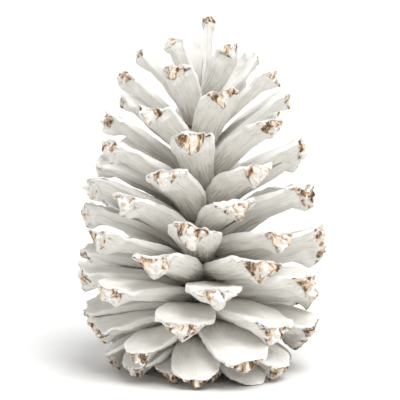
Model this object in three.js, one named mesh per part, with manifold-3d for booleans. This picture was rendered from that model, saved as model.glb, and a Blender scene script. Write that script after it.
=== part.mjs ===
// A whitewashed pine cone, fully open, standing on its base with its tip up.
// One woody axis carries every scale. The scales follow a golden-angle spiral, from the small ones
// under the base to the crown at the tip. Axis and scales grew as one piece, so they are one solid.
// Millimetres and degrees, +Z up, origin at the centre of the flat spot that the cone stands on.

import * as THREE from "three";
import { mergeVertices } from "three/addons/utils/BufferGeometryUtils.js";
import Module from "manifold-3d";

// The whole cone
const CONE_HEIGHT = 200;
const CONE_RADIUS = 69; // axis to the ends of the longest scales
const AXIS_RADIUS = 13; // at the base, where the cone broke off its branch
const FULL_WIDTH = 32; // of the widest scales
const FULL_ARCH = 0.25; // lift of the most arched scale in its middle, per length of scale
const SCALE_COUNT = 91;
const GOLDEN_ANGLE = 180 * (3 - Math.sqrt(5));
const FIRST_BEARING = 321; // of the lowest scale, from -Y towards +X
const UNWINDING = 9; // bearing that the spiral has lost at the tip
const UNWINDS_FROM = 0.6; // place in the spiral where it starts to lose it
const DOME_POWER = 12; // how abruptly the crown closes over the axis
const LEADER_RISE = 8; // height of the topmost scale over the rest of the crown
const LEADER_WIDTH = 0.55; // its width, as a share of that of the scales round it

// Seven stations, evenly spaced in the spiral from the lowest scale to the topmost one.
// The low scales arch over and droop, the middle ones are nearly straight, and the topmost one is upright.
const ROOT_HEIGHT = stations(CONE_HEIGHT, [0.03, 0.11, 0.205, 0.3, 0.43, 0.575, 0.79]);
const TIP_HEIGHT = stations(CONE_HEIGHT, [0.045, 0.04, 0.205, 0.395, 0.57, 0.765, 0.96]);
const TIP_RADIUS = stations(CONE_RADIUS, [0.49, 0.81, 1, 1, 0.94, 0.8, 0.68]);
const AXIS_TAPER = stations(AXIS_RADIUS, [1, 1, 0.95, 0.88, 0.75, 0.55, 0.25]);
const SCALE_WIDTH = stations(FULL_WIDTH, [0.55, 0.82, 1, 0.97, 0.85, 0.69, 0.45]);
const SCALE_ARCH = stations(FULL_ARCH, [1, 0.88, 0.44, 0.24, 0.4, 0.48, 0]);

// One scale: a strap that widens from its root to a rounded lip, with a thick keeled end below the lip
const ROOT_SPREAD = 0.6; // root width as a share of the scale's width
const WIDEST_AT = 0.78; // share of the length where the strap is widest
const LIP_REACH = 0.25; // half axis of the rounded lip, as a share of the length
const BLADE_THICKNESS = 10;
const EDGE_THICKNESS = 4; // of the side edges along the blade
const LIP_THICKNESS = 2; // of the side edges at the end
const THINS_FROM = 0.68; // share of the length where the side edges start to thin out
const THINS_TO = 0.9; // share of the length where they are thin
const KEEL_DEPTH = 6; // how far the end's keel stands below the blade
const KEEL_AT = 0.92;
const KEEL_LENGTH = 0.2;
const CROWN = 0.07; // drop of the side edges below the middle of the upper face, as a share of the width
const ROOT_SINK = 0.4; // radius where a root starts, as a share of the axis's radius
const SECTIONS = [0, 0.4, 0.72, 0.86, 0.92, 1]; // shares of the length where the strap's section is set

// Uneven growth: the scales sag on two opposite flanks, and each one strays a little
const SAG = 5.5;
const SAG_BEARING = 45;
const STRAY_SEED = 5899732;
const STRAY_BEARING = 6;
const STRAY_REACH = 3.5;
const STRAY_RISE = 5;
const STRAY_TWIST = 12;
const STRAY_WIDTH = 0.08;

const AXIS_SIDES = 12;
const FOOT_OVERLAP = 3; // length of axis below the floor, which the flat spot cuts off

const wasm = await Module();
wasm.setup();

// A smooth curve through evenly spaced station values
function stations(size, shares) {
  return new THREE.SplineCurve(shares.map((share, i) => new THREE.Vector2(i, share * size)));
}

function valueAt(curve, place) {
  return curve.getPoint(place).y;
}

// Repeatable draws from -1 to 1
function strayDraws(seed) {
  const modulus = 2 ** 32;
  let state = seed;
  return () => {
    state = (state * 1664525 + 1013904223) % modulus;
    return (state / modulus) * 2 - 1;
  };
}

function solidOf(geometry) {
  const bare = geometry.clone();
  bare.deleteAttribute("normal");
  bare.deleteAttribute("uv");
  const merged = mergeVertices(bare);
  return new wasm.Manifold(
    new wasm.Mesh({
      numProp: 3,
      vertProperties: new Float32Array(merged.attributes.position.array),
      triVerts: new Uint32Array(merged.index.array),
    }),
  );
}

function geometryOf(solid) {
  const mesh = solid.getMesh();
  const geometry = new THREE.BufferGeometry();
  geometry.setAttribute("position", new THREE.BufferAttribute(mesh.vertProperties, 3));
  geometry.setIndex(new THREE.BufferAttribute(mesh.triVerts, 1));
  geometry.computeVertexNormals();
  return geometry;
}

// The woody axis: a tapering spindle, closed at both ends
function makeAxis() {
  const outline = [new THREE.Vector2(0, -FOOT_OVERLAP), new THREE.Vector2(AXIS_RADIUS, -FOOT_OVERLAP)];
  const steps = ROOT_HEIGHT.points.length - 1;
  for (let step = 0; step <= steps; step++) {
    const place = step / steps;
    outline.push(new THREE.Vector2(valueAt(AXIS_TAPER, place), valueAt(ROOT_HEIGHT, place)));
  }
  outline.push(new THREE.Vector2(0, valueAt(ROOT_HEIGHT, 1) + valueAt(AXIS_TAPER, 1)));
  return new THREE.LatheGeometry(outline, AXIS_SIDES).rotateX(Math.PI / 2);
}

// Where a scale grows and how far it reaches, from its place in the spiral
function growScale(index, stray) {
  const place = index / (SCALE_COUNT - 1);
  const loose = Math.sqrt(Math.sin(Math.PI * place)); // the ends of the spiral stray less
  const dome = Math.sqrt(1 - place ** DOME_POWER);
  const leads = index === SCALE_COUNT - 1;
  const unwound = UNWINDING * THREE.MathUtils.smoothstep(place, UNWINDS_FROM, 1);
  const bearing = FIRST_BEARING + index * GOLDEN_ANGLE - unwound + STRAY_BEARING * stray();
  const sag = SAG * Math.cos(2 * THREE.MathUtils.degToRad(bearing - SAG_BEARING)) * loose ** 2;
  const reach = valueAt(TIP_RADIUS, place) * dome + STRAY_REACH * loose * stray();
  const rise = valueAt(TIP_HEIGHT, place) + (leads ? LEADER_RISE : 0) + STRAY_RISE * loose * stray() - sag;
  const root = new THREE.Vector2(ROOT_SINK * valueAt(AXIS_TAPER, place), valueAt(ROOT_HEIGHT, place));
  const tip = new THREE.Vector2(reach, rise);
  const arch = valueAt(SCALE_ARCH, place);
  const chord = tip.clone().sub(root);
  const knee = root.clone().lerp(tip, 0.5).add(new THREE.Vector2(-chord.y, chord.x).multiplyScalar(arch));
  return {
    bearing: THREE.MathUtils.degToRad(bearing),
    centreline: new THREE.QuadraticBezierCurve(root, knee, tip),
    twist: THREE.MathUtils.degToRad(STRAY_TWIST * loose * stray()),
    width: valueAt(SCALE_WIDTH, place) * (leads ? LEADER_WIDTH : 1) * (1 + STRAY_WIDTH * stray()),
  };
}

// Half width of the strap, as a share of its half width where it is widest
function spreadAt(along) {
  const opening = THREE.MathUtils.smoothstep(along, 0, WIDEST_AT);
  const past = Math.max(0, along - WIDEST_AT) / LIP_REACH;
  return THREE.MathUtils.lerp(ROOT_SPREAD, 1, opening) * Math.sqrt(1 - past ** 2);
}

// Depth of the middle of the underside below the middle of the upper face
function keelAt(along) {
  const bulge = Math.max(0, 1 - Math.abs(along - KEEL_AT) / KEEL_LENGTH);
  return BLADE_THICKNESS + KEEL_DEPTH * bulge;
}

// Thickness of the side edges, which thin out towards the lip
function edgeAt(along) {
  const thinned = THREE.MathUtils.smoothstep(along, THINS_FROM, THINS_TO);
  return THREE.MathUtils.lerp(EDGE_THICKNESS, LIP_THICKNESS, thinned);
}

// A scale starts as a six-sided rod: two corners on each side edge, and one in the middle of each face.
// Its corners are moved to the strap's section, and the rod is bent along the scale's centreline.
function makeScale({ bearing, centreline, twist, width }) {
  const rod = new THREE.CylinderGeometry(1, 1, SECTIONS.length - 1, 6, SECTIONS.length - 1);
  const corners = rod.attributes.position;
  const outward = new THREE.Vector3(Math.sin(bearing), -Math.cos(bearing), 0);
  const sideways = new THREE.Vector3(-Math.cos(bearing), -Math.sin(bearing), 0);
  const upward = new THREE.Vector3(0, 0, 1);
  const slender = Math.sqrt(width / FULL_WIDTH);
  for (let i = 0; i < corners.count; i++) {
    const along = SECTIONS[Math.round(corners.getY(i) + (SECTIONS.length - 1) / 2)];
    const side = Math.sign(Math.round(corners.getX(i) * 10));
    const face = Math.sign(Math.round(corners.getZ(i) * 10));
    const top = -CROWN * width * along * Math.abs(side);
    const depth = slender * (side === 0 ? keelAt(along) : edgeAt(along));
    const across = (side * width * spreadAt(along)) / 2;
    const height = top - (depth * (1 - face)) / 2;
    const turn = twist * along;
    const x = across * Math.cos(turn) - height * Math.sin(turn);
    const h = across * Math.sin(turn) + height * Math.cos(turn);
    const centre = centreline.getPoint(along);
    const tangent = centreline.getTangent(along);
    const point = new THREE.Vector3()
      .addScaledVector(outward, centre.x - tangent.y * h)
      .addScaledVector(upward, centre.y + tangent.x * h)
      .addScaledVector(sideways, x);
    corners.setXYZ(i, point.x, point.y, point.z);
  }
  return rod;
}

// Everything above the floor plane, so that the cone stands on flat spots
function aboveFloor() {
  const side = 4 * CONE_RADIUS;
  return new THREE.BoxGeometry(side, side, 2 * CONE_HEIGHT).translate(0, 0, CONE_HEIGHT);
}

function makeCone() {
  const stray = strayDraws(STRAY_SEED);
  let cone = solidOf(makeAxis());
  for (let index = 0; index < SCALE_COUNT; index++) {
    cone = cone.add(solidOf(makeScale(growScale(index, stray))));
  }
  const bodies = cone.intersect(solidOf(aboveFloor())).decompose();
  return bodies.sort((a, b) => b.volume() - a.volume())[0];
}

const whitewash = new THREE.MeshStandardMaterial({ color: "#e6e3dc", roughness: 0.85, metalness: 0 });

const pineCone = new THREE.Mesh(geometryOf(makeCone()), whitewash);
pineCone.name = "pine_cone";

const part = new THREE.Group();
part.name = "whitewashed_pine_cone";
part.add(pineCone);

export default part;
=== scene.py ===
# %% [markdown]
# # A whitewashed pine cone
# A pine cone opens as it dries: its scales arch away from the woody axis, and the low ones droop. This one
# was brushed with thin white paint, which stayed chalky on the scales and rubbed off their thick ends, where
# tan wood shows. The lesson models one scale with care, copies it round the axis by the rule that a real
# cone grows by, and then mixes the paint.

# %% [markdown]
# ## The frame
# The cone's plain solid is loaded first, because it fixes the size and the place of everything below. Each
# piece is made in metres, in the frame of that solid, with the floor at height zero.

# %% The frame
import math

import bmesh
import bpy
import numpy as np
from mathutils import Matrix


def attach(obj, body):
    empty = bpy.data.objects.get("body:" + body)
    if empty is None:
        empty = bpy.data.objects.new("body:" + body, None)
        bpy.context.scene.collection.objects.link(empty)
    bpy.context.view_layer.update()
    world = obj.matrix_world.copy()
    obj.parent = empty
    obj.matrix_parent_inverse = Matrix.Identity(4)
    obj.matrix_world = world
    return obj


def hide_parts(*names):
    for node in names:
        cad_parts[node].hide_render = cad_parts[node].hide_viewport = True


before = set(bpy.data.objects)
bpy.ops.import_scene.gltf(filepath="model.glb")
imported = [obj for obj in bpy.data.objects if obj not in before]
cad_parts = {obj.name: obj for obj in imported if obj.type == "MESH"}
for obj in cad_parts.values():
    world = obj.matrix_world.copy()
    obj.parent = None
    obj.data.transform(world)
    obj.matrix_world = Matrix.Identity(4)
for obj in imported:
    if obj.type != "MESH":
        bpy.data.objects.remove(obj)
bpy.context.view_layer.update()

# %% [markdown]
# ## The size of the cone
# A cone is easy to describe at a few stations, evenly spaced in its spiral from the lowest scale to the
# topmost one. At each of the seven stations the lists say how high a root sits, where the lip ends and how
# wide the scale is. The low scales arch over and droop, the middle ones are nearly straight, and the
# topmost one is upright.

# %% Stations from base to tip
MM = 0.001
CONE_HEIGHT = 200 * MM
CONE_RADIUS = 69 * MM
AXIS_RADIUS = 13 * MM
FULL_WIDTH = 32 * MM
FULL_ARCH = 0.25  # lift of the middle of a scale per length of it

ROOT_HEIGHT = CONE_HEIGHT * np.array([0.03, 0.11, 0.205, 0.3, 0.43, 0.575, 0.79])
TIP_HEIGHT = CONE_HEIGHT * np.array([0.045, 0.04, 0.205, 0.395, 0.57, 0.765, 0.96])
TIP_RADIUS = CONE_RADIUS * np.array([0.49, 0.81, 1, 1, 0.94, 0.8, 0.68])
AXIS_TAPER = AXIS_RADIUS * np.array([1, 1, 0.95, 0.88, 0.75, 0.55, 0.25])
SCALE_WIDTH = FULL_WIDTH * np.array([0.55, 0.82, 1, 0.97, 0.85, 0.69, 0.45])
SCALE_ARCH = FULL_ARCH * np.array([1, 0.88, 0.44, 0.24, 0.4, 0.48, 0])
print("stations:", len(ROOT_HEIGHT), "- widest scale in mm:", SCALE_WIDTH.max() / MM)

# %% [markdown]
# ## Curves and chance
# Between two stations a value follows a smooth curve, so that the outline of the cone has no corners. Real
# growth is uneven as well, and a row of seeded draws stands for that. It looks like chance, but it is the
# same row on every run.

# %% Curves and draws
def value_at(stations, place):
    """Read a smooth curve through the stations, at a place from 0, the lowest scale, to 1."""
    last = len(stations) - 1
    step = min(int(place * last), last - 1)
    t = place * last - step
    before, start, end, after = (stations[min(max(i, 0), last)] for i in range(step - 1, step + 3))
    leave, arrive = (end - before) / 2, (after - start) / 2
    cubic = 2 * start - 2 * end + leave + arrive
    square = 3 * end - 3 * start - 2 * leave - arrive
    return ((cubic * t + square) * t + leave) * t + start


def smoothstep(low, high, value):
    """0 at low, 1 at high, and a soft S between them. Low may be the larger of the two."""
    t = np.clip((value - low) / (high - low), 0, 1)
    return t * t * (3 - 2 * t)


DRAW_FACTOR, DRAW_STEP, DRAW_RANGE = 1664525, 1013904223, 2**32


def stray_draws(state):
    """Repeatable draws from -1 to 1."""
    while True:
        state = (state * DRAW_FACTOR + DRAW_STEP) % DRAW_RANGE
        yield state / DRAW_RANGE * 2 - 1


print("a scale halfway up is", round(value_at(SCALE_WIDTH, 0.5) / MM, 1), "mm wide")

# %% [markdown]
# ## The growth rule
# Scales start one after another, each turned by the golden angle from the last one, and that alone draws
# the spiral rows that a cone shows. Near the tip the spiral unwinds a little, the crown closes over the axis
# like a dome, and the topmost scale stands over the rest. This cone also sags on two opposite flanks.

# %% Spiral, sag and stray
SCALE_COUNT = 91
GOLDEN_ANGLE = 180 * (3 - math.sqrt(5))
FIRST_BEARING = 321
UNWINDING = 9
UNWINDS_FROM = 0.6
DOME_POWER = 12
LEADER_RISE = 8 * MM
LEADER_WIDTH = 0.55  # of the topmost scale, as a share of the width of the scales round it
ROOT_SINK = 0.4  # radius where a root starts, as a share of the radius of the axis
SAG = 5.5 * MM
SAG_BEARING = 45
STRAY_SEED = 5899732
STRAY_BEARING = 6
STRAY_REACH = 3.5 * MM
STRAY_RISE = 5 * MM
STRAY_TWIST = 12
STRAY_WIDTH = 0.08
print("the spiral turns about", round(SCALE_COUNT * GOLDEN_ANGLE / 360, 1), "times round the axis")

# %% [markdown]
# ## Growing the scales
# Each scale comes out as a few numbers: the way that it faces, three points of an arch from its root over a
# knee to its tip, a twist and a width. Five draws make it stray, always in the same order.

# %% Growing the scales
def grow_scale(index, stray):
    """Where one scale grows: its bearing, the three points of its arch, its twist and its width."""
    place = index / (SCALE_COUNT - 1)
    loose = math.sqrt(math.sin(math.pi * place))
    bearing = FIRST_BEARING + index * GOLDEN_ANGLE - UNWINDING * smoothstep(UNWINDS_FROM, 1, place)
    bearing = math.radians(bearing + STRAY_BEARING * next(stray))
    reach = value_at(TIP_RADIUS, place) * math.sqrt(1 - place**DOME_POWER)
    reach += STRAY_REACH * loose * next(stray)
    rise = value_at(TIP_HEIGHT, place) + STRAY_RISE * loose * next(stray)
    rise -= SAG * math.cos(2 * (bearing - math.radians(SAG_BEARING))) * loose**2
    width = value_at(SCALE_WIDTH, place)
    if index == SCALE_COUNT - 1:
        rise += LEADER_RISE
        width *= LEADER_WIDTH
    root = np.array((ROOT_SINK * value_at(AXIS_TAPER, place), value_at(ROOT_HEIGHT, place)))
    tip = np.array((reach, rise))
    chord = tip - root
    return {
        "bearing": bearing,
        "root": root,
        "knee": (root + tip) / 2 + value_at(SCALE_ARCH, place) * np.array((-chord[1], chord[0])),
        "tip": tip,
        "twist": math.radians(STRAY_TWIST * loose * next(stray)),
        "width": width * (1 + STRAY_WIDTH * next(stray)),
    }


stray = stray_draws(STRAY_SEED)
growth = [grow_scale(index, stray) for index in range(SCALE_COUNT)]
print("scales:", len(growth), "- longest reach in mm:", round(max(g["tip"][0] for g in growth) / MM, 1))

# %% [markdown]
# ## Picking by place
# By hand one would click on the corners to move. A script picks them by where they are: a test looks at a
# corner's coordinates, and every corner, or every face whose corners all pass, becomes selected. The
# operators that follow then act on that selection only.

# %% Picking corners and faces
TINY = 0.01 * MM


def near(a, b):
    return abs(a - b) < TINY


def pick(kind, test):
    """Select the corners ("VERT") or faces ("FACE") that pass a test on their coordinates."""
    mesh = bpy.context.object.data
    shape = bmesh.from_edit_mesh(mesh)
    bpy.ops.mesh.select_mode(type=kind)
    bpy.ops.mesh.select_all(action="DESELECT")
    if kind == "VERT":
        chosen = [vert for vert in shape.verts if test(vert.co)]
    else:
        chosen = [face for face in shape.faces if all(test(vert.co) for vert in face.verts)]
    for part in chosen:
        part.select_set(True)
    shape.select_flush_mode()
    bmesh.update_edit_mesh(mesh)


print("corners closer than", TINY / MM, "mm count as being in the same place")

# %% [markdown]
# ## Starting and finishing a piece
# A new piece starts as a primitive, with nothing else selected, and opens in edit mode. A modifier at the
# end is applied at once, so that the next step sees the real mesh.

# %% Starting and finishing
def start_piece(add, **settings):
    """Add one primitive, and open it in edit mode."""
    bpy.ops.object.select_all(action="DESELECT")
    add(**settings)
    bpy.ops.object.transform_apply(location=True)
    bpy.ops.object.mode_set(mode="EDIT")
    return bpy.context.object


def apply_modifier(piece, name, kind, **settings):
    modifier = piece.modifiers.new(name, kind)
    for setting, value in settings.items():
        setattr(modifier, setting, value)
    bpy.ops.object.modifier_apply(modifier=modifier.name)


# %% [markdown]
# ## One scale: the plank
# A scale is a woody strap with a rounded lip and a thick end. It could be sculpted from a lump, but a flat
# plank that is cut into rings along it and columns across it keeps clean four-sided faces, and every ring
# and column can then be moved by a measure. The rings lie closer towards the end, where the shape is busy.

# %% Plank with rings and columns
SCALE_LENGTH = 64 * MM
LIP_THICKNESS = 2 * MM
RINGS = [0.12, 0.25, 0.38, 0.51, 0.63, 0.73, 0.82, 0.89, 0.94, 0.975]
MIDDLE, RIB, FLANK, EDGE = 0, 0.45, 0.82, 1  # columns, as shares of the half width

model_scale = start_piece(bpy.ops.mesh.primitive_cube_add, size=1)
bpy.ops.transform.resize(value=(SCALE_LENGTH, FULL_WIDTH, LIP_THICKNESS))
bpy.ops.transform.translate(value=(SCALE_LENGTH / 2, 0, -LIP_THICKNESS / 2))
for ring in RINGS:
    bpy.ops.mesh.select_all(action="SELECT")
    bpy.ops.mesh.bisect(plane_co=(ring * SCALE_LENGTH, 0, 0), plane_no=(1, 0, 0))
for column in (-FLANK, -RIB, MIDDLE, RIB, FLANK):
    bpy.ops.mesh.select_all(action="SELECT")
    bpy.ops.mesh.bisect(plane_co=(0, column * FULL_WIDTH / 2, 0), plane_no=(0, 1, 0))
print("plank cut into", len(bmesh.from_edit_mesh(model_scale.data).faces), "faces")

# %% [markdown]
# ## Crisp edges
# Subdivision will round the plank off later, and it would round everything alike. A crease holds it back
# where wood keeps an edge: along the rims, along the two ribs of the underside, at the lip, and where the
# underside comes to a point below the end.

# %% Creases
RIM_CREASE = 0.6
LOWER_RIM_CREASE = 0.4
RIB_CREASE = 0.8
POINTS_FROM, POINTS_TO = 0.68, 0.9  # shares of the length between which the underside comes to a point

for column, level, crease in (
    (EDGE, 0, RIM_CREASE),
    (EDGE, -LIP_THICKNESS, LOWER_RIM_CREASE),
    (FLANK, -LIP_THICKNESS, LOWER_RIM_CREASE),
    (RIB, -LIP_THICKNESS, RIB_CREASE),
):
    pick("VERT", lambda co: near(abs(co.y), column * FULL_WIDTH / 2) and near(co.z, level))
    bpy.ops.transform.edge_crease(value=crease)
pick("VERT", lambda co: near(co.x, SCALE_LENGTH) and near(co.z, 0))
bpy.ops.transform.edge_crease(value=RIM_CREASE)
pick("VERT", lambda co: co.x > POINTS_FROM * SCALE_LENGTH and near(co.y, 0) and near(co.z, -LIP_THICKNESS))
bpy.ops.transform.edge_crease(value=RIM_CREASE)
print("creases along the rims, ribs and lip, the sharpest", RIB_CREASE)

# %% [markdown]
# ## Keel and crown
# Below, a scale is a trough-shaped keel between two ribs along the blade, and a single deep point at the
# end. Above, it is crowned, with its rims a little below its middle, and towards the lip the middle sinks
# level with them. Each corner of the plank is moved down by those measures before the plank is narrowed,
# while every column still has one place across it.

# %% Depth of each column
BLADE_THICKNESS = 10 * MM
KEEL_DEPTH = 6 * MM
KEEL_AT = 0.92
KEEL_LENGTH = 0.2
BLADE_SECTION = {MIDDLE: 0.94, RIB: 1, FLANK: 0.42, EDGE: 0.25}  # shares of the depth, across the blade
END_SECTION = {MIDDLE: 1, RIB: 0.5, FLANK: 0.1, EDGE: 0}  # and across the end
CROWN = 0.07  # drop of the rims at the lip, as a share of the width
LEVELLED = 2.2 * MM  # how far the middle sinks towards the lip
LEVEL_FROM, LEVEL_FULL = 0.4, 0.75  # shares of the length between which it sinks


def keel_at(along):
    bulge = max(0, 1 - abs(along - KEEL_AT) / KEEL_LENGTH)
    return BLADE_THICKNESS + KEEL_DEPTH * bulge


for ring in [0, *RINGS, 1]:
    pointed = smoothstep(POINTS_FROM, POINTS_TO, ring)
    sink = LEVELLED * smoothstep(LEVEL_FROM, LEVEL_FULL, ring)
    for column in (MIDDLE, RIB, FLANK, EDGE):
        x, y = ring * SCALE_LENGTH, column * FULL_WIDTH / 2
        share = BLADE_SECTION[column] + (END_SECTION[column] - BLADE_SECTION[column]) * pointed
        keel = (keel_at(ring) - LIP_THICKNESS) * share
        drop = CROWN * FULL_WIDTH * ring * column**2
        pick("VERT", lambda co: near(co.x, x) and near(abs(co.y), y) and near(co.z, -LIP_THICKNESS))
        bpy.ops.transform.translate(value=(0, 0, -drop - keel))
        pick("VERT", lambda co: near(co.x, x) and near(abs(co.y), y) and near(co.z, 0))
        bpy.ops.transform.translate(value=(0, 0, -drop - sink * (1 - column**2)))
print("the keel is", keel_at(KEEL_AT) / MM, "mm deep at its lowest")

# %% [markdown]
# ## Outline
# Seen from above, the strap widens from its root and ends in a rounded lip. One ring after another is scaled
# across to the width that it has there, which keeps the middle column straight.

# %% Outline from root to lip
ROOT_SPREAD = 0.6  # root width as a share of the scale's width
WIDEST_AT = 0.78
LIP_REACH = 0.25
LIP_POWER = 2.5  # 2 would be an ellipse, and more is squarer


def spread_at(along):
    past = max(0, along - WIDEST_AT) / LIP_REACH
    opening = smoothstep(0, WIDEST_AT, along)
    return (ROOT_SPREAD + (1 - ROOT_SPREAD) * opening) * (1 - past**LIP_POWER) ** (1 / LIP_POWER)


for ring in [0, *RINGS, 1]:
    pick("VERT", lambda co: near(co.x, ring * SCALE_LENGTH))
    bpy.ops.transform.resize(value=(1, spread_at(ring), 1))
print("the lip ends", round(spread_at(1) * FULL_WIDTH / MM, 1), "mm wide")

# %% [markdown]
# ## The end of the scale
# While the cone was closed, only the ends of the scales showed. Below its lip an end has two hollows, side by
# side, then a low ridge, and below that it falls back like a chin. Three cuts across the end give the lines
# to move: the hollows are pushed in, the ridge is pulled out, and the chin is pushed back.

# %% Hollows, ridge and chin
HOLLOW_DROP, HOLLOW_PUSH = 3.5 * MM, -1.4 * MM
RIDGE_DROP, RIDGE_PUSH = 7 * MM, 0.8 * MM
CHIN_DROP, CHIN_PUSH = 11 * MM, -2 * MM
RIDGE_CREASE = 0.5

for drop in (HOLLOW_DROP, RIDGE_DROP, CHIN_DROP):
    pick("FACE", lambda co: near(co.x, SCALE_LENGTH))
    bpy.ops.mesh.bisect(plane_co=(0, 0, -drop), plane_no=(0, 0, 1))
end_width = spread_at(1) * FULL_WIDTH
pick("VERT", lambda co: near(co.x, SCALE_LENGTH) and near(co.z, -RIDGE_DROP))
bpy.ops.transform.edge_crease(value=RIDGE_CREASE)
bpy.ops.transform.translate(value=(RIDGE_PUSH, 0, 0))
pick("VERT", lambda co: near(co.x, SCALE_LENGTH) and near(co.z, -HOLLOW_DROP) and abs(co.y) > TINY)
bpy.ops.transform.translate(value=(HOLLOW_PUSH, 0, 0))
pick("VERT", lambda co: near(co.x, SCALE_LENGTH) and co.z < -CHIN_DROP - TINY)
bpy.ops.transform.translate(value=(CHIN_PUSH, 0, 0))
print("the end is", round(end_width / MM, 1), "mm wide and its hollows are", -HOLLOW_PUSH / MM, "mm deep")

# %% [markdown]
# ## The boss
# In the middle of the ridge sits a small boss, what is left of the scale's first year. The faces round the
# middle are inset, so that a groove runs round it, and then extruded and made smaller.

# %% Boss
BOSS_INSET = 0.9 * MM
BOSS_HEIGHT = 1.7 * MM
BOSS_TAPER = 0.45

boss_side = RIB * end_width / 2 + TINY
pick(
    "FACE",
    lambda co: abs(co.y) < boss_side
    and SCALE_LENGTH + HOLLOW_PUSH - TINY < co.x
    and -CHIN_DROP - TINY < co.z < -HOLLOW_DROP + TINY,
)
bpy.ops.mesh.inset(thickness=BOSS_INSET, depth=-BOSS_INSET)
bpy.ops.mesh.extrude_region_move(TRANSFORM_OT_translate={"value": (BOSS_HEIGHT, 0, 0)})
bpy.ops.transform.resize(value=(1, BOSS_TAPER, BOSS_TAPER))
bpy.ops.mesh.select_all(action="SELECT")
bpy.ops.mesh.normals_make_consistent(inside=False)
bpy.ops.object.mode_set(mode="OBJECT")
apply_modifier(model_scale, "rounded", "SUBSURF", levels=2, render_levels=2)
print("the model scale has", len(model_scale.data.polygons), "faces")

# %% [markdown]
# ## Numbers on the mesh
# Paint lies thick in one place and is rubbed off in another, and those places belong to the scale, not to
# the room. Attributes carry a number on every corner of the mesh, and they stay with it when it is copied
# and bent. Arrays read and write all corners at once, which is much quicker than a loop.

# %% Reading and writing
def read(collection, name, size):
    values = np.empty(len(collection) * size, np.float32)
    collection.foreach_get(name, values)
    return values.reshape(-1, size) if size > 1 else values


def write_attribute(mesh, name, values):
    """Store a number, or a row of three, on every corner of the mesh."""
    kind, field = ("FLOAT_VECTOR", "vector") if np.ndim(values) == 2 else ("FLOAT", "value")
    layer = mesh.attributes.new(name, kind, "POINT")
    layer.data.foreach_set(field, np.ascontiguousarray(values, np.float32).ravel())


flat = read(model_scale.data.vertices, "co", 3).astype(float)
facing_up = read(model_scale.data.vertex_normals, "vector", 3)[:, 2]
flat_along = (flat[:, 0] - flat[:, 0].min()) / np.ptp(flat[:, 0])
flat_across = flat[:, 1] / np.abs(flat[:, 1]).max()
print("corners on the model scale:", len(flat))

# %% [markdown]
# ## Places on the scale
# A few places matter to the paint. The end below the lip is where wood shows, most of all in its two hollows
# and least on the boss. The rim gets a painted highlight where it faces up, and wet paint also gathered there
# before it dried. The underside gets painted shade, and less paint stuck there too.

# %% End, boss, hollows, rim and underside
END_FROM, END_FULL = 0.88, 0.955
LIP_FROM, LIP_FULL = 0.5 * MM, 1.5 * MM
BOSS_OUTER, BOSS_INNER = 4.5 * MM, 2.5 * MM
HOLLOW_ACROSS, HOLLOW_BELOW = 5.2 * MM, 3 * MM
HOLLOW_OUTER, HOLLOW_INNER = 5 * MM, 3 * MM
RIM_FROM, RIM_FULL = 0.75, 0.97  # shares of the half width
LIP_RIM_FROM, LIP_RIM_FULL = 0.93, 0.99  # shares of the length
RIM_LEVEL_FROM, RIM_LEVEL_FULL = -0.4, 0.1  # upward part of the normal, so that the rim's side counts too
UNDER_FROM, UNDER_FULL = 0.2, -0.4  # and the same for the underside

half_width = np.array([spread_at(along) for along in flat_along]) * FULL_WIDTH / 2
to_side = np.minimum(np.abs(flat[:, 1]) / half_width, 1)
sunk = CROWN * FULL_WIDTH * flat_along * to_side**2
sunk += LEVELLED * smoothstep(LEVEL_FROM, LEVEL_FULL, flat_along) * (1 - to_side**2)
below_face = -flat[:, 2] - sunk
near_end = smoothstep(END_FROM, END_FULL, flat_along)
below_lip = smoothstep(LIP_FROM, LIP_FULL, below_face)
near_boss = smoothstep(BOSS_OUTER, BOSS_INNER, np.hypot(flat[:, 1], flat[:, 2] + RIDGE_DROP))
from_hollow = np.hypot(np.abs(flat[:, 1]) - HOLLOW_ACROSS, below_face - HOLLOW_BELOW)
in_hollow = smoothstep(HOLLOW_OUTER, HOLLOW_INNER, from_hollow)
near_rim = smoothstep(LIP_RIM_FROM, LIP_RIM_FULL, flat_along)
near_rim = np.maximum(near_rim, smoothstep(RIM_FROM, RIM_FULL, to_side))
# Only the rim that faces up or sideways gets the bright colour, which is a painted highlight.
near_rim *= smoothstep(RIM_LEVEL_FROM, RIM_LEVEL_FULL, facing_up)
underside = smoothstep(UNDER_FROM, UNDER_FULL, facing_up)
print("the end covers", round(float((near_end * below_lip).mean()), 3), "of the corners")

# %% [markdown]
# ## How the paint lies
# The coat covers best towards the lip and is crusty near the root. Towards the root both are made darker as
# painted shade, which falls deep between the scales. It is worn off the end, more on the cone's right side
# than on its left. Bare wood is tan in the hollows and dark round the border of the end, which is partly
# painted shade. It is pale on the boss, which is partly a painted highlight. An upright scale was rubbed all
# round. The undersides of the lowest scales get dark painted shade, and their ends are worn barer and painted
# darker as shade.

# %% Cover, wear and tone
# The coat thins towards the root. This is partly thinner paint and partly painted shade, which falls deep
# between the scales.
COVER_AND_SHADE_FROM, COVER_AND_SHADE_FULL = 0.1, 0.55  # shares of the length
# The dark crusty tone at the roots is partly real crust and partly painted shade deep between the scales.
CRUST_AND_SHADE_TO, CRUST_AND_SHADE_FULL = 0.3, 0.02
# The undersides take the thin grey coat, partly as painted shade and partly as thinner paint.
UNDERSIDE_SHADE_AND_THIN = 0.2
# A painted highlight on the upward-facing rims, together with the paint that gathered there.
RIM_PAINT_AND_HIGHLIGHT = 0.7
WORN, WORN_RIGHT, WORN_STRAY, WORN_UPRIGHT, WORN_LOW = 0.08, 0.06, 0.09, 0.2, 0.08
HOLLOW_WORN, BOSS_KEEPS = 0.15, 0.04
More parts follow.
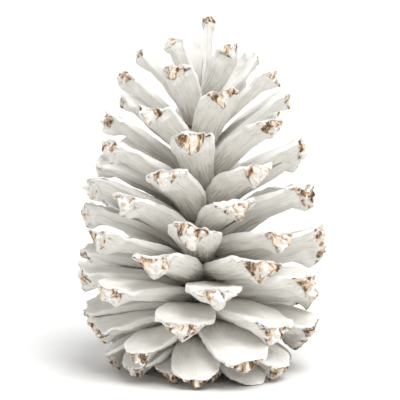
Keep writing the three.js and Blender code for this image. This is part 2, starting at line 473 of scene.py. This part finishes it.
# Tone of the bare wood. The boss is paler, partly as a painted highlight, and the end's border is darker,
# partly as painted shade. The lowest ends are darker as painted shade. The tan in the hollows is the wood's
# own.
BOSS_PALE_AND_HIGHLIGHT, HOLLOW_TAN, BORDER_DARK_AND_SHADE, LOW_END_SHADE = 0.08, 0.04, 0.16, 0.06
BORDER_INNER, BORDER_OUTER = 0.97, 0.5  # strength of the end where its border starts, and where it is full
# Painted shade: the undersides of the lowest scales take the dark crusty tone.
LOW_UNDERSIDE_SHADE = 0.95
LOWEST, NO_LONGER_LOW = 0.12 * CONE_HEIGHT, 0.24 * CONE_HEIGHT  # heights of roots
UPRIGHT_FROM = 0.8  # rise of the last stretch of a scale per length of it


def lowness(scale):
    return smoothstep(NO_LONGER_LOW, LOWEST, scale["root"][1])


def uprightness(scale):
    slope = scale["tip"] - scale["knee"]
    return smoothstep(UPRIGHT_FROM, 1, slope[1] / np.linalg.norm(slope))


low_count = sum(lowness(g) > 0 for g in growth)
print("low scales:", low_count, "- upright scales:", sum(uprightness(g) > 0 for g in growth))

# %% [markdown]
# ## Numbers for each scale
# Each scale gets its own numbers from those places, one for every corner. A last number says how far an end
# has curled out of shape, which the lowest scales hardly do.

# %% Numbers on one scale
CURL_FROM, CURL_FULL = 0.7, 0.95  # shares of the length
LOW_STRAIGHT = 0.75


def numbers_on(scale, chance):
    upright, low = uprightness(scale), lowness(scale)
    end = near_end * (below_lip + (1 - below_lip) * upright)
    boss, hollow = near_boss * end, in_hollow * end
    worn = WORN + WORN_RIGHT * math.sin(scale["bearing"]) + WORN_STRAY * chance
    worn += WORN_UPRIGHT * upright + WORN_LOW * low
    # The pale boss is partly a painted highlight, and the dark border is partly painted shade.
    tone = BOSS_PALE_AND_HIGHLIGHT * boss - HOLLOW_TAN * hollow - BORDER_DARK_AND_SHADE * smoothstep(BORDER_INNER, BORDER_OUTER, end)
    # This mask also darkens the root end as painted shade.
    crust = smoothstep(CRUST_AND_SHADE_TO, CRUST_AND_SHADE_FULL, flat_along)
    return {
        # Thinner, greyer coat towards the root and on the undersides: partly thin paint, partly painted
        # shade.
        "cover_and_shade": smoothstep(COVER_AND_SHADE_FROM, COVER_AND_SHADE_FULL, flat_along) - UNDERSIDE_SHADE_AND_THIN * underside,
        # root: grey crust at the roots, which is also painted shade there, and painted shade under the lowest
        # scales.
        "root": np.maximum(crust, LOW_UNDERSIDE_SHADE * low * underside * (1 - end)),
        # Bright rim: a painted highlight, and paint that gathered there.
        "rim_paint_and_highlight": RIM_PAINT_AND_HIGHLIGHT * near_rim,
        "end": end,
        "wear": worn + HOLLOW_WORN * hollow - BOSS_KEEPS * boss,
        # The ends of the lowest scales are made darker as painted shade.
        "tone": tone - LOW_END_SHADE * low,
        "curled": smoothstep(CURL_FROM, CURL_FULL, flat_along) * (1 - LOW_STRAIGHT * low),
    }


print("numbers on each corner:", sorted(numbers_on(growth[0], 0)))

# %% [markdown]
# ## Bending a copy
# Each copy is bent along its own arch, turned to its bearing and scaled to its width. A Curve modifier bends
# a mesh too, but it flips over on the nearly upright scales of the crown, so a short formula moves the
# corners instead. A narrow scale is thinner as well, by the square root of its width, and the lowest scales
# have rounder lips, like petals.

# %% Bending a scale
LOW_ROUND = 0.3
ROUND_FROM = 0.82


def lay_scale(scale):
    t = flat_along[:, None]
    centre = (1 - t) ** 2 * scale["root"] + 2 * t * (1 - t) * scale["knee"] + t**2 * scale["tip"]
    tangent = (1 - t) * (scale["knee"] - scale["root"]) + t * (scale["tip"] - scale["knee"])
    tangent /= np.linalg.norm(tangent, axis=1, keepdims=True)
    across = flat_across * scale["width"] / 2
    across *= 1 - LOW_ROUND * lowness(scale) * smoothstep(ROUND_FROM, 1, flat_along)
    height = flat[:, 2] * math.sqrt(scale["width"] / FULL_WIDTH)
    turn = scale["twist"] * flat_along
    sideways = across * np.cos(turn) + height * np.sin(turn)
    lift = height * np.cos(turn) - across * np.sin(turn)
    radius = centre[:, 0] - tangent[:, 1] * lift
    level = centre[:, 1] + tangent[:, 0] * lift
    sin, cos = math.sin(scale["bearing"]), math.cos(scale["bearing"])
    return np.column_stack((radius * sin + sideways * cos, sideways * sin - radius * cos, level))


print("the topmost lip is at", round(float(lay_scale(growth[-1])[:, 2].max()) / MM, 1), "mm")

# %% [markdown]
# ## Laying the copies
# The copies are sorted into four pieces, from the base to the crown, each copy with its own mesh. The flat
# scale's coordinates go along as the grain, so that wood fibres can run along a bent scale, and each copy's
# grain starts further on, so that no two scales have the same fibres.

# %% Copies in four pieces
PIECE_NAMES = ["base_scales", "lower_scales", "upper_scales", "crown_scales"]

copies = [[] for name in PIECE_NAMES]
paint_draws = stray_draws(STRAY_SEED + 1)
for index, scale in enumerate(growth):
    mesh = model_scale.data.copy()
    mesh.vertices.foreach_set("co", lay_scale(scale).astype(np.float32).ravel())
    for name, values in numbers_on(scale, next(paint_draws)).items():
        write_attribute(mesh, name, values)
    write_attribute(mesh, "grain", flat + np.array((index * SCALE_LENGTH, 0, 0)))
    copy = bpy.data.objects.new(f"scale_{index}", mesh)
    bpy.context.collection.objects.link(copy)
    copies[index * len(PIECE_NAMES) // SCALE_COUNT].append(copy)
bpy.data.objects.remove(model_scale)
print("copies in each piece:", [len(group) for group in copies])

# %% [markdown]
# ## Uneven growth
# Copies of one model look stamped until something pushes them about. Displace modifiers do that with cloud
# textures, which lie in space, so that no two scales get the same bumps: a broad cloud warps whole scales,
# a smaller one curls their ends, a third swells and pinches them, and a fine one roughens the ends and the
# crusty roots.

# %% Clouds
WARP_SIZE, WARP_PUSH = 28 * MM, 3.5 * MM
CURL_SIZE, CURL_PUSH = 9 * MM, 6 * MM
SWELL_SIZE, SWELL_PUSH = 7 * MM, 0.9 * MM
CRUST_SIZE, CRUST_PUSH = 2.4 * MM, 2 * MM


def clouds(name, size, colour="GRAYSCALE"):
    texture = bpy.data.textures.new(name, "CLOUDS")
    texture.noise_scale = size
    texture.noise_depth = 1
    texture.cloud_type = colour
    return texture


warp = clouds("warp", WARP_SIZE, "COLOR")
curl = clouds("curl", CURL_SIZE, "COLOR")
swell = clouds("swell", SWELL_SIZE)
crust = clouds("crust", CRUST_SIZE)
print("clouds:", [texture.name for texture in bpy.data.textures])

# %% [markdown]
# ## Roughening a piece
# A vertex group says how much of a push each corner takes. The ends and the roots take the fine crust, and
# the ends take the curl. The groups are only needed while the modifiers are applied.

# %% Roughening
ROOT_CRUST = 0.8  # push of the crust on the roots, as a share of its push on the ends


def group_corners(piece, name, shares):
    group = piece.vertex_groups.new(name=name)
    for corner, share in enumerate(shares):
        group.add([corner], float(share), "REPLACE")


def roughen(piece):
    root, end, curled = (
        read(piece.data.attributes[name].data, "value", 1) for name in ("root", "end", "curled")
    )
    group_corners(piece, "crusty", np.maximum(ROOT_CRUST * root, end))
    group_corners(piece, "curled", curled)
    apply_modifier(piece, "warp", "DISPLACE", texture=warp, direction="RGB_TO_XYZ", strength=WARP_PUSH)
    apply_modifier(
        piece,
        "curl",
        "DISPLACE",
        texture=curl,
        direction="RGB_TO_XYZ",
        strength=CURL_PUSH,
        vertex_group="curled",
    )
    apply_modifier(piece, "swell", "DISPLACE", texture=swell, strength=SWELL_PUSH)
    apply_modifier(piece, "crust", "DISPLACE", texture=crust, strength=CRUST_PUSH, vertex_group="crusty")
    piece.vertex_groups.clear()


print("pushes in mm:", [round(push / MM, 1) for push in (WARP_PUSH, CURL_PUSH, SWELL_PUSH, CRUST_PUSH)])

# %% [markdown]
# ## Standing on the floor
# The lowest ends would reach a little below the floor. On a cone that stands, those are worn flat, so the
# floor plane cuts them off and the cut is filled.

# %% Cutting at the floor
FLOOR_CUT = 0.001 * MM


def stand_on_floor():
    bpy.ops.object.mode_set(mode="EDIT")
    bpy.ops.mesh.select_all(action="SELECT")
    bpy.ops.mesh.bisect(
        plane_co=(0, 0, 0), plane_no=(0, 0, -1), use_fill=True, clear_outer=True, threshold=FLOOR_CUT
    )
    bpy.ops.object.mode_set(mode="OBJECT")


print("lowest point before the cut in mm:", round(min(lay_scale(g)[:, 2].min() for g in growth) / MM, 2))

# %% [markdown]
# ## Four pieces of scales
# The copies of each piece are joined, roughened and cut. Shading is smooth except across sharp folds, so
# that the lips and the bosses keep their edges.

# %% Joining the scales
SMOOTH_ANGLE = math.radians(60)

scale_pieces = []
for name, group in zip(PIECE_NAMES, copies):
    bpy.ops.object.select_all(action="DESELECT")
    for copy in group:
        copy.select_set(True)
    bpy.context.view_layer.objects.active = group[0]
    bpy.ops.object.join()
    piece = bpy.context.object
    piece.name = name
    roughen(piece)
    stand_on_floor()
    bpy.ops.object.shade_smooth_by_angle(angle=SMOOTH_ANGLE)
    scale_pieces.append(piece)
    print(name, "has", sum(len(face.vertices) - 2 for face in piece.data.polygons), "triangles")

# %% [markdown]
# ## The axis
# The axis is the woody core that every scale grows from. Little of it shows, only a crusty grey column deep
# in the gaps. It starts as a cylinder, is cut across at and between the stations, and is narrowed there.

# %% Axis column
AXIS_SIDES = 28
CUTS_PER_STATION = 3

axis_top = ROOT_HEIGHT[-1] + AXIS_TAPER[-1]
axis = start_piece(
    bpy.ops.mesh.primitive_cylinder_add,
    vertices=AXIS_SIDES,
    radius=AXIS_RADIUS,
    depth=axis_top,
    location=(0, 0, axis_top / 2),
)
axis.name = "axis"
station_count = len(ROOT_HEIGHT)
cuts = np.linspace(0, station_count - 1, (station_count - 1) * CUTS_PER_STATION + 1)
levels = np.interp(cuts, range(station_count), ROOT_HEIGHT)
for level in levels:
    bpy.ops.mesh.select_all(action="SELECT")
    bpy.ops.mesh.bisect(plane_co=(0, 0, level), plane_no=(0, 0, 1))
for level in [*levels, axis_top]:
    taper = np.interp(level, ROOT_HEIGHT, AXIS_TAPER) / AXIS_RADIUS
    pick("VERT", lambda co: near(co.z, level))
    bpy.ops.transform.resize(value=(taper, taper, 1))
print("the axis is", round(axis_top / MM, 1), "mm tall, in", len(levels) + 1, "steps")

# %% [markdown]
# ## Stem scar and bark
# Underneath, a ring-shaped scar shows where the cone broke off its twig, with the pith in the middle. Three
# insets draw the rim, the step and the pith. Subdivision and a coarse cloud then give the column its crust.

# %% Stem scar and bark
SCAR_RIM = 2.5 * MM
SCAR_DEPTH = 1.2 * MM
PITH_INSET = 5 * MM
BARK_SIZE, BARK_PUSH = 5 * MM, 3.2 * MM

pick("FACE", lambda co: near(co.z, 0))
bpy.ops.mesh.inset(thickness=SCAR_RIM)
bpy.ops.mesh.inset(thickness=SCAR_DEPTH / 2, depth=-SCAR_DEPTH)
bpy.ops.mesh.inset(thickness=PITH_INSET)
bpy.ops.transform.translate(value=(0, 0, -SCAR_DEPTH / 2))
bpy.ops.mesh.select_all(action="SELECT")
bpy.ops.mesh.normals_make_consistent(inside=False)
bpy.ops.object.mode_set(mode="OBJECT")
apply_modifier(axis, "rounded", "SUBSURF", levels=2, render_levels=2)
apply_modifier(axis, "bark", "DISPLACE", texture=clouds("bark", BARK_SIZE), strength=BARK_PUSH)
stand_on_floor()
bpy.ops.object.shade_smooth_by_angle(angle=SMOOTH_ANGLE)
axis_corners = read(axis.data.vertices, "co", 3)
for name, value in {"cover_and_shade": 0, "root": 1, "rim_paint_and_highlight": 0, "end": 0, "wear": 0, "tone": 0}.items():
    write_attribute(axis.data, name, np.full(len(axis_corners), value))
write_attribute(axis.data, "grain", axis_corners[:, [2, 0, 1]])
print("the axis has", len(axis.data.polygons), "faces")

# %% [markdown]
# ## Colours and nodes
# A material is a graph of small nodes. One function adds any node: it sets the node's properties, then fills
# its sockets with numbers or links them to other nodes. Colours are written as on a paint chart, in sRGB
# hex, and turned to linear light, which the renderer reckons in.

# %% Colours and nodes
def linear(hex_colour):
    """An sRGB hex colour as linear red, green, blue and alpha."""
    shares = [int(hex_colour[i : i + 2], 16) / 255 for i in (1, 3, 5)]
    return (*(s / 12.92 if s <= 0.04045 else ((s + 0.055) / 1.055) ** 2.4 for s in shares), 1)


def add_node(tree, kind, settings, sockets, output=0):
    """Add a node, set its properties, fill or link its sockets, and give one of its outputs."""
    made = tree.nodes.new("ShaderNode" + kind)
    for name, value in settings.items():
        setattr(made, name, value)
    for name, value in sockets.items():
        if isinstance(value, bpy.types.NodeSocket):
            tree.links.new(value, made.inputs[name])
        else:
            made.inputs[name].default_value = value
    return made.outputs[output] if made.outputs else made


print("chalk white in linear light:", [round(share, 3) for share in linear("#EDEBE6")])

# %% [markdown]
# ## Patterns in the wood and the wash
# Five patterns are mixed into the finish. Fibres and splits follow the grain, so they read the flat scale's
# coordinates, stretched along it. Blotches, crust and grit lie on the cone in any direction, so they read
# the place in space. Each size is a real one in millimetres, or says how much coarser than life it is.

# %% Grain, blotches, crust and grit
FIBRE_WIDTH = 1.3 * MM  # twice as wide as life, to show in the picture
FIBRE_STRETCH = (0.09, 1, 1)
SPLIT_WIDTH = 2.6 * MM
SPLIT_STRETCH = (0.5, 1, 0.25)
BLOTCH_SIZE = 9 * MM
CRUST_SPOT = 4 * MM
GRIT_SIZE = 0.6 * MM  # chalk is far finer, and this is the least that shows
RAGGED = 0.6  # how much the finer detail of each pattern counts

# Whitewashed pine: chalk and size in water, brushed on a dry cone. It gives the eye a dull white without any
# gloss, grey fibres where it lies thin, and warm tan on the ends where the wood is bare.
whitewash = bpy.data.materials.new("whitewashed_pine")
whitewash.use_nodes = True
coat_tree = whitewash.node_tree
coat_tree.nodes.clear()

grain = add_node(coat_tree, "Attribute", {"attribute_name": "grain"}, {}, "Vector")
fibre_place = add_node(coat_tree, "Mapping", {}, {"Vector": grain, "Scale": FIBRE_STRETCH})
split_place = add_node(coat_tree, "Mapping", {}, {"Vector": grain, "Scale": SPLIT_STRETCH})
space = add_node(coat_tree, "TexCoord", {}, {}, "Object")
fibre, split, blotch, crust_spot, grit = (
    add_node(
        coat_tree,
        "TexNoise",
        {},
        {"Vector": place, "Scale": 1 / size, "Detail": detail, "Roughness": RAGGED},
    )
    for place, size, detail in (
        (fibre_place, FIBRE_WIDTH, 3),
        (split_place, SPLIT_WIDTH, 2),
        (space, BLOTCH_SIZE, 3),
        (space, CRUST_SPOT, 4),
        (space, GRIT_SIZE, 2),
    )
)
print("patterns so far take", len(coat_tree.nodes), "nodes")

# %% [markdown]
# ## Bare wood
# Dry pine is tan, with dark brown streaks where the ends split and a pale, nearly white boss. The split
# pattern, pushed darker or paler by the tone number on the mesh, runs through three browns. That number also
# carries painted shade round the end's border and on the lowest ends, and a painted highlight on the boss. A
# Mix node keeps sockets for several kinds of value under the same names, so its colour sockets are given by
# number.

# %% Bare wood
SOFT_STEP = {"interpolation_type": "SMOOTHSTEP"}
COLOUR_MIX = {"data_type": "RGBA"}
SHARE, UNDER, OVER, MIXED = 0, 6, 7, 2
BROWN_TO, TAN_AT, PALE_AT = 0.34, 0.44, 0.56

cover_and_shade, root, rim_paint_and_highlight, end, wear, tone = (
    add_node(coat_tree, "Attribute", {"attribute_name": name}, {}, "Fac")
    for name in ("cover_and_shade", "root", "rim_paint_and_highlight", "end", "wear", "tone")
)
streak = add_node(coat_tree, "Math", {"operation": "ADD"}, {0: split, 1: tone})
tan = add_node(coat_tree, "MapRange", SOFT_STEP, {"Value": streak, "From Min": BROWN_TO, "From Max": TAN_AT})
pale = add_node(coat_tree, "MapRange", SOFT_STEP, {"Value": streak, "From Min": TAN_AT, "From Max": PALE_AT})
brown_wood = {SHARE: tan, UNDER: linear("#5A4026"), OVER: linear("#A88561")}
brown_wood = add_node(coat_tree, "Mix", COLOUR_MIX, brown_wood, MIXED)
wood = {SHARE: pale, UNDER: brown_wood, OVER: linear("#E3D2BE")}
wood = add_node(coat_tree, "Mix", COLOUR_MIX, wood, MIXED)
print("wood brings it to", len(coat_tree.nodes), "nodes")

# %% [markdown]
# ## The coat
# The coat is laid as a painter would: a thin grey wash that shows the fibres, thick chalk over it where the
# brush left more, a grey crust at the roots, and last the bright rim. The thin wash also stands for painted
# shade towards the roots and on the undersides. The crust also stands for painted shade deep between the
# scales and under the lowest ones. The bright rim is a painted highlight on upward-facing rims, where wet
# paint also gathered. Each layer has two tones of its own, so that no stretch of it is one flat colour.

# %% Coat of whitewash
FIBRE_SHOWS = 1.4
THIN_TO, THICK_AT = 0.9, 1.65
MULTIPLY_ADD = {"operation": "MULTIPLY_ADD"}

thin_tone, thick_tone, crusty_tone = (
    add_node(coat_tree, "MapRange", SOFT_STEP, {"Value": pattern, "From Min": low, "From Max": 1 - low})
    for pattern, low in ((fibre, 0.35), (blotch, 0.3), (crust_spot, 0.35))
)
thin, thick, crusty = (
    add_node(coat_tree, "Mix", COLOUR_MIX, {SHARE: tone, UNDER: linear(dark), OVER: linear(light)}, MIXED)
    for tone, dark, light in (
        (thin_tone, "#C2BCB2", "#E2DED7"),
        (thick_tone, "#E6E4DE", "#EFEDE8"),
        (crusty_tone, "#A29B90", "#CBC5BA"),
    )
)
# The thin grey coat also stands for painted shade towards the roots and on the undersides.
laid = add_node(coat_tree, "Math", MULTIPLY_ADD, {0: fibre, 1: FIBRE_SHOWS, 2: cover_and_shade})
laid = add_node(coat_tree, "MapRange", SOFT_STEP, {"Value": laid, "From Min": THIN_TO, "From Max": THICK_AT})
coat = add_node(coat_tree, "Mix", COLOUR_MIX, {SHARE: laid, UNDER: thin, OVER: thick}, MIXED)
# The crusty tone is also painted shade, deep at the roots and under the lowest scales.
coat = add_node(coat_tree, "Mix", COLOUR_MIX, {SHARE: root, UNDER: coat, OVER: crusty}, MIXED)
# The bright rim is a painted highlight on upward-facing rims, where wet paint also gathered.
coat = add_node(coat_tree, "Mix", COLOUR_MIX, {SHARE: rim_paint_and_highlight, UNDER: coat, OVER: linear("#F7F6F3")}, MIXED)
print("the coat brings it to", len(coat_tree.nodes), "nodes")

# %% [markdown]
# ## Worn ends
# On the ends the coat is rubbed off in patches, and it holds out where the crust is thick. The wear number
# says how far that went, and the crust pattern draws the edges of the patches.

# %% Wear on the ends
CRUST_HOLDS = -1.6
PAINT_TO, BARE_FROM = -0.8, -0.55
END_STARTS, END_SHOWS = 0.15, 0.6
MULTIPLY = {"operation": "MULTIPLY"}

rubbed = add_node(coat_tree, "Math", MULTIPLY_ADD, {0: crust_spot, 1: CRUST_HOLDS, 2: wear})
rubbed = {"Value": rubbed, "From Min": PAINT_TO, "From Max": BARE_FROM}
rubbed = add_node(coat_tree, "MapRange", SOFT_STEP, rubbed)
on_end = {"Value": end, "From Min": END_STARTS, "From Max": END_SHOWS}
on_end = add_node(coat_tree, "MapRange", SOFT_STEP, on_end)
bare = add_node(coat_tree, "Math", MULTIPLY, {0: rubbed, 1: on_end})
colour = add_node(coat_tree, "Mix", COLOUR_MIX, {SHARE: bare, UNDER: coat, OVER: wood}, MIXED)
print("wear brings it to", len(coat_tree.nodes), "nodes")

# %% [markdown]
# ## Relief and gloss
# The relief that is too fine for the mesh comes from a Bump node: fibres, chalk grit, and thicker crust on
# the ends. Chalk is nearly as dull as a surface gets, and bare wood is a little smoother.

# %% Relief and gloss
FIBRE_RELIEF, GRIT_RELIEF, CRUST_RELIEF = 0.8, 0.35, 1.2
RELIEF_DEPTH, RELIEF_STRENGTH = 0.5 * MM, 0.6
CHALK_IOR = 1.45
CHALK_ROUGHNESS = 0.92
WOOD_SMOOTHER = -0.25

height = add_node(coat_tree, "Math", MULTIPLY, {0: fibre, 1: FIBRE_RELIEF})
height = add_node(coat_tree, "Math", MULTIPLY_ADD, {0: grit, 1: GRIT_RELIEF, 2: height})
end_crust = add_node(coat_tree, "Math", MULTIPLY, {0: crust_spot, 1: end})
height = add_node(coat_tree, "Math", MULTIPLY_ADD, {0: end_crust, 1: CRUST_RELIEF, 2: height})
relief = {"Height": height, "Strength": RELIEF_STRENGTH, "Distance": RELIEF_DEPTH}
relief = add_node(coat_tree, "Bump", {}, relief)
gloss = {0: bare, 1: WOOD_SMOOTHER, 2: CHALK_ROUGHNESS}
roughness = add_node(coat_tree, "Math", MULTIPLY_ADD, gloss)
surface = {"Base Color": colour, "Roughness": roughness, "IOR": CHALK_IOR, "Normal": relief}
surface = add_node(coat_tree, "BsdfPrincipled", {}, surface)
add_node(coat_tree, "OutputMaterial", {}, {"Surface": surface})
print("whitewashed pine has", len(coat_tree.nodes), "nodes")

# %% [markdown]
# ## The floor
# The cone stands on a plain white sheet. It is large enough to fill the picture behind the cone, because an
# edge or a horizon would take the eye off it.

# %% Floor
FLOOR_RADIUS = 400
FLOOR_SIDES = 96
PAPER_ROUGHNESS = 0.9

bpy.ops.object.select_all(action="DESELECT")
bpy.ops.mesh.primitive_circle_add(vertices=FLOOR_SIDES, radius=FLOOR_RADIUS, fill_type="NGON")
floor = bpy.context.object
floor.name = "floor"
# Uncoated white paper: matt and even, so that the eye sees only the soft shadow on it.
paper = bpy.data.materials.new("uncoated_paper")
paper.use_nodes = True
paper.node_tree.nodes.clear()
sheet = {"Base Color": linear("#FAFAF9"), "Roughness": PAPER_ROUGHNESS}
sheet = add_node(paper.node_tree, "BsdfPrincipled", {}, sheet)
add_node(paper.node_tree, "OutputMaterial", {}, {"Surface": sheet})
floor.data.materials.append(paper)
print("floor radius in metres:", FLOOR_RADIUS)

# %% [markdown]
# ## Light
# White on white needs shade to be seen at all. A soft sun from the front right, high up, models the scales,
# and an even white sky keeps the gaps between them from going black.

# %% Sky and sun
SKY_STRENGTH = 0.645
SUN_STRENGTH = 2.3
SUN_SPREAD = math.radians(30)
SUN_ELEVATION = math.radians(55)
SUN_BEARING = math.radians(25)
MIDDLE_HEIGHT = 98 * MM

sky = bpy.data.worlds.new("daylight")
sky.use_nodes = True
sky.node_tree.nodes["Background"].inputs["Color"].default_value = linear("#FFFFFF")
sky.node_tree.nodes["Background"].inputs["Strength"].default_value = SKY_STRENGTH
bpy.context.scene.world = sky
bpy.context.scene.view_settings.view_transform = "Standard"


def place_round(elevation, bearing, distance):
    """A point at a distance from the middle of the cone, by its height and bearing from there."""
    level = distance * math.cos(elevation)
    height = MIDDLE_HEIGHT + distance * math.sin(elevation)
    return level * math.sin(bearing), -level * math.cos(bearing), height


def aim(thing):
    look = thing.constraints.new("TRACK_TO")
    look.target = cone_middle
    look.track_axis, look.up_axis = "TRACK_NEGATIVE_Z", "UP_Y"


cone_middle = bpy.data.objects.new("cone_middle", None)
cone_middle.location = (0, 0, MIDDLE_HEIGHT)
bpy.context.collection.objects.link(cone_middle)
bpy.ops.object.light_add(type="SUN", location=place_round(SUN_ELEVATION, SUN_BEARING, 1))
sun = bpy.context.object
sun.data.angle = SUN_SPREAD
sun.data.energy = SUN_STRENGTH
aim(sun)
print("sun from", [round(c, 2) for c in sun.location])

# %% [markdown]
# ## Camera
# The camera looks slightly down on the cone, from as far as a long lens would, so that the near scales don't
# bulge. The lens is just narrow enough to leave the far edge of the floor out of the picture.

# %% Camera
CAMERA_ELEVATION = math.radians(6.5)
CAMERA_DISTANCE = 1.005
CAMERA_ANGLE = math.radians(12.8)

bpy.ops.object.camera_add(location=place_round(CAMERA_ELEVATION, 0, CAMERA_DISTANCE))
camera = bpy.context.object
camera.data.sensor_fit = "HORIZONTAL"
camera.data.angle = CAMERA_ANGLE
aim(camera)
bpy.context.scene.camera = camera
print("camera at", [round(c, 3) for c in camera.location])

# %% [markdown]
# ## Handing over
# Axis and scales are one grown thing, so every piece rides on the one body and stands for its solid.

# %% Pieces on the frame
for piece in [axis, *scale_pieces]:
    piece.data.materials.clear()
    piece.data.materials.append(whitewash)
    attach(piece, "root")
    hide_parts("pine_cone")
